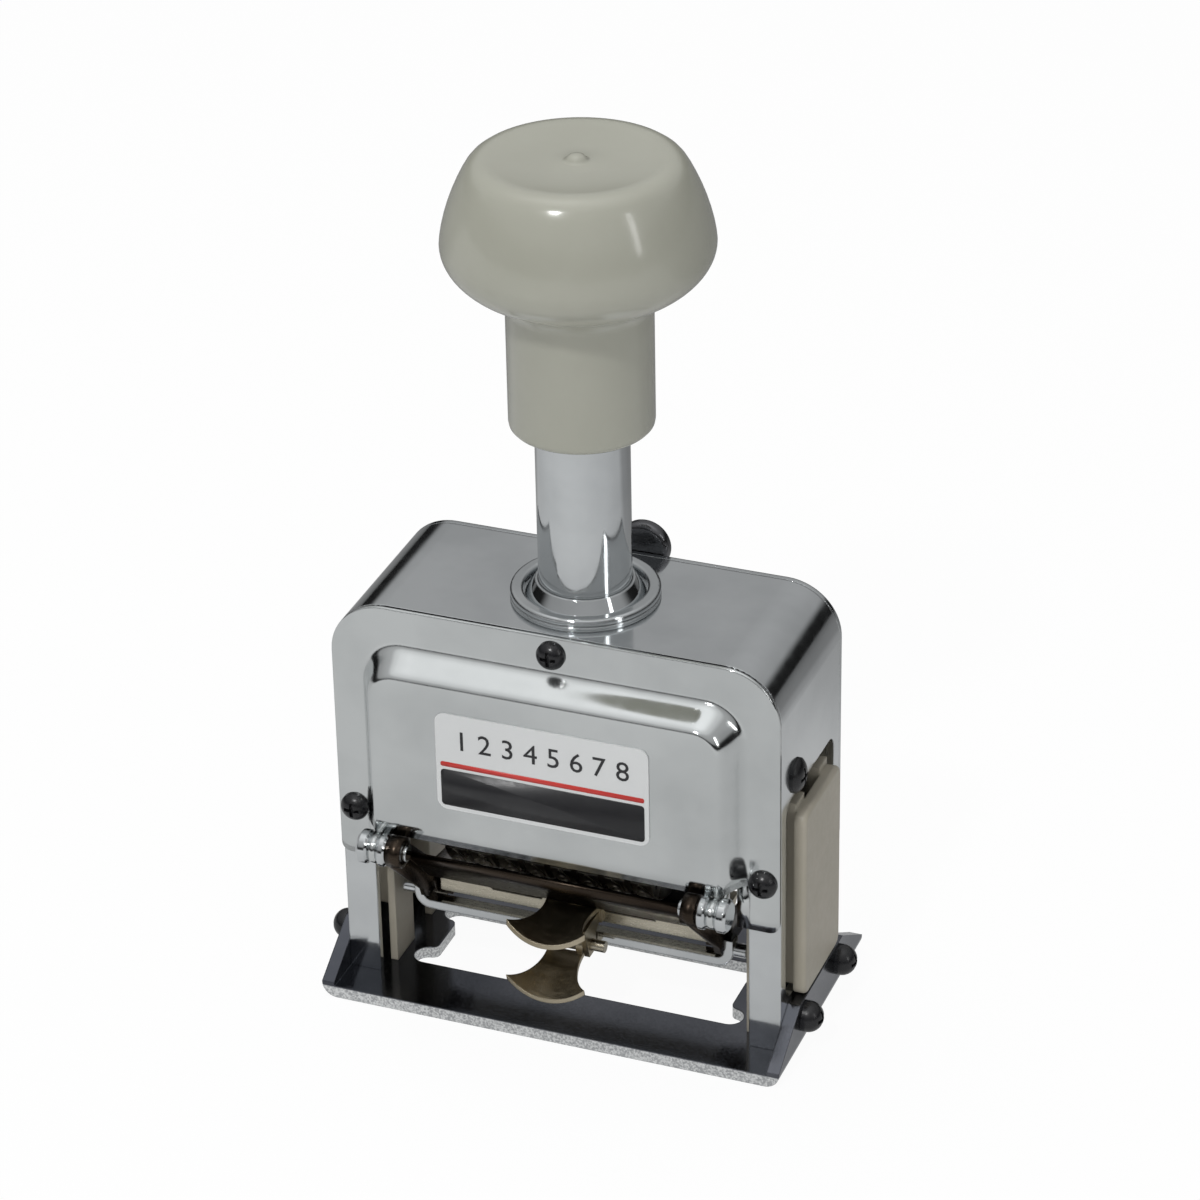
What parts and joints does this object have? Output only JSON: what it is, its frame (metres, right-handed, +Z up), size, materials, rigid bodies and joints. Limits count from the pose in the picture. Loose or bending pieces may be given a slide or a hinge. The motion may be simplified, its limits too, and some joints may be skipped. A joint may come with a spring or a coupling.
{
  "type": "numbering machine",
  "caption": "Hand numbering machine with a knobbed plunger, number wheels in a windowed steel frame and an ink pad that swings clear as the plunger is pressed",
  "frame": {"origin": "on the desk plane, under the middle of the whole depth, 1.2 mm in front of the stem's axis", "axes": "+Z up along the stem, -Y towards the front with the ink pad grips, +X to the right of someone facing the front"},
  "size_m": [0.0798, 0.042, 0.1374],
  "materials": {
    "chrome_plate": "bright chromium plate",
    "dark_nickel": "dark bronze nickel plate",
    "warm_nickel": "satin warm nickel plate",
    "grey_plastic": "glossy warm grey moulding",
    "beige_plastic": "satin warm grey moulding",
    "black_screw": "glossy black finish",
    "steel": "turned steel",
    "spring_steel": "spring steel",
    "wheel_steel": "inked type steel",
    "felt": "inked felt",
    "label": "printed label"
  },
  "bodies": {
    "frame": {"base_plate": "chrome_plate", "frame_shell": "chrome_plate", "front_cover": "chrome_plate", "rear_cover": "chrome_plate", "label_plate": "label", "collar_ring": "chrome_plate", "guide_bush": "chrome_plate", "spring_bridge": "steel", "spring_seat_pin": "steel", "spring_seat": "steel", "side_guide_left": "beige_plastic", "side_guide_right": "beige_plastic", "cover_screws": "black_screw", "base_screws": "black_screw", "side_screws": "black_screw", "pad_hinge_pins": "chrome_plate", "lever_pivot": "black_screw"},
    "plunger": {"knob": "grey_plastic", "stem_tube": "chrome_plate", "spring_plug": "steel", "main_spring": "spring_steel", "carriage_yoke": "steel", "guide_shoe_left": "steel", "guide_shoe_right": "steel", "wheel_shaft": "steel", "tie_rods": "steel", "shaft_spacer": "steel", "pawl_rod": "steel", "pawl_spring": "spring_steel"},
    "retaining_pawl_comb": {"retaining_pawls": "steel"},
    "feed_swing_arm": {"feed_arm": "steel"},
    "feed_pawl_comb": {"feed_pawl": "steel"},
    "pad_swing_frame": {"pad_frame": "dark_nickel", "pad_bail": "chrome_plate"},
    "pad_holder": {"pad_tray": "warm_nickel", "ink_pad": "felt", "upper_grip": "dark_nickel", "latch_pin": "warm_nickel", "latch_spring": "spring_steel"},
    "pad_latch": {"lower_grip": "dark_nickel"},
    "selector": {"repeat_lever": "chrome_plate"},
    "wheel_1": {"number_wheel_1": "wheel_steel"},
    "wheel_2": {"number_wheel_2": "wheel_steel"},
    "wheel_3": {"number_wheel_3": "wheel_steel"},
    "wheel_4": {"number_wheel_4": "wheel_steel"},
    "wheel_5": {"number_wheel_5": "wheel_steel"},
    "wheel_6": {"number_wheel_6": "wheel_steel"},
    "wheel_7": {"number_wheel_7": "wheel_steel"},
    "wheel_8": {"number_wheel_8": "wheel_steel"}
  },
  "joints": [
    {"name": "plunger_press", "type": "slide", "parent": "frame", "child": "plunger", "axis": [0, 0, -1], "range_m": [0, 0.018], "stiffness_N_per_m": 500, "springref_m": -0.012, "deforming": ["main_spring"]},
    {"name": "wheel_1_turn", "type": "hinge", "parent": "plunger", "child": "wheel_1", "pos_m": [0, 0.0012, 0.0285], "axis": [1, 0, 0], "continuous": true},
    {"name": "wheel_2_turn", "type": "hinge", "parent": "plunger", "child": "wheel_2", "pos_m": [0, 0.0012, 0.0285], "axis": [1, 0, 0], "continuous": true},
    {"name": "wheel_3_turn", "type": "hinge", "parent": "plunger", "child": "wheel_3", "pos_m": [0, 0.0012, 0.0285], "axis": [1, 0, 0], "continuous": true},
    {"name": "wheel_4_turn", "type": "hinge", "parent": "plunger", "child": "wheel_4", "pos_m": [0, 0.0012, 0.0285], "axis": [1, 0, 0], "continuous": true},
    {"name": "wheel_5_turn", "type": "hinge", "parent": "plunger", "child": "wheel_5", "pos_m": [0, 0.0012, 0.0285], "axis": [1, 0, 0], "continuous": true},
    {"name": "wheel_6_turn", "type": "hinge", "parent": "plunger", "child": "wheel_6", "pos_m": [0, 0.0012, 0.0285], "axis": [1, 0, 0], "continuous": true},
    {"name": "wheel_7_turn", "type": "hinge", "parent": "plunger", "child": "wheel_7", "pos_m": [0, 0.0012, 0.0285], "axis": [1, 0, 0], "continuous": true},
    {"name": "wheel_8_turn", "type": "hinge", "parent": "plunger", "child": "wheel_8", "pos_m": [0, 0.0012, 0.0285], "axis": [1, 0, 0], "continuous": true},
    {"name": "retaining_pawls_lift", "type": "hinge", "parent": "plunger", "child": "retaining_pawl_comb", "pos_m": [0, 0.01168, 0.03531], "axis": [1, 0, 0], "range_deg": [0, 8], "stiffness_Nm_per_rad": 0.02, "springref_deg": -8.59},
    {"name": "feed_arm_swing", "type": "hinge", "parent": "plunger", "child": "feed_swing_arm", "pos_m": [0, 0.0012, 0.0285], "axis": [1, 0, 0], "range_deg": [0, 36]},
    {"name": "feed_pawls_lift", "type": "hinge", "parent": "feed_swing_arm", "child": "feed_pawl_comb", "pos_m": [0, 0.00669, 0.04028], "axis": [1, 0, 0], "range_deg": [0, 8], "stiffness_Nm_per_rad": 0.02, "springref_deg": -8.59},
    {"name": "pad_swing", "type": "hinge", "parent": "frame", "child": "pad_swing_frame", "pos_m": [0, -0.0184, 0.0288], "axis": [-1, 0, 0], "range_deg": [0, 95]},
    {"name": "pad_draw", "type": "slide", "parent": "pad_swing_frame", "child": "pad_holder", "axis": [0, -1, 0], "range_m": [0, 0.02]},
    {"name": "pad_latch_pinch", "type": "hinge", "parent": "pad_holder", "child": "pad_latch", "pos_m": [0, -0.0094, 0.0126], "axis": [-1, 0, 0], "range_deg": [0, 10], "stiffness_Nm_per_rad": 0.05, "springref_deg": -11.46},
    {"name": "selector_turn", "type": "hinge", "parent": "frame", "child": "selector", "pos_m": [0, 0.0162, 0.046], "axis": [0, 1, 0], "range_deg": [-27, 18]}
  ],
  "couplings": [
    {"joint": "feed_arm_swing", "follows": "plunger_press", "rad_per_m": 34.903},
    {"joint": "pad_swing", "follows": "plunger_press", "rad_per_m": 92.105}
  ]
}
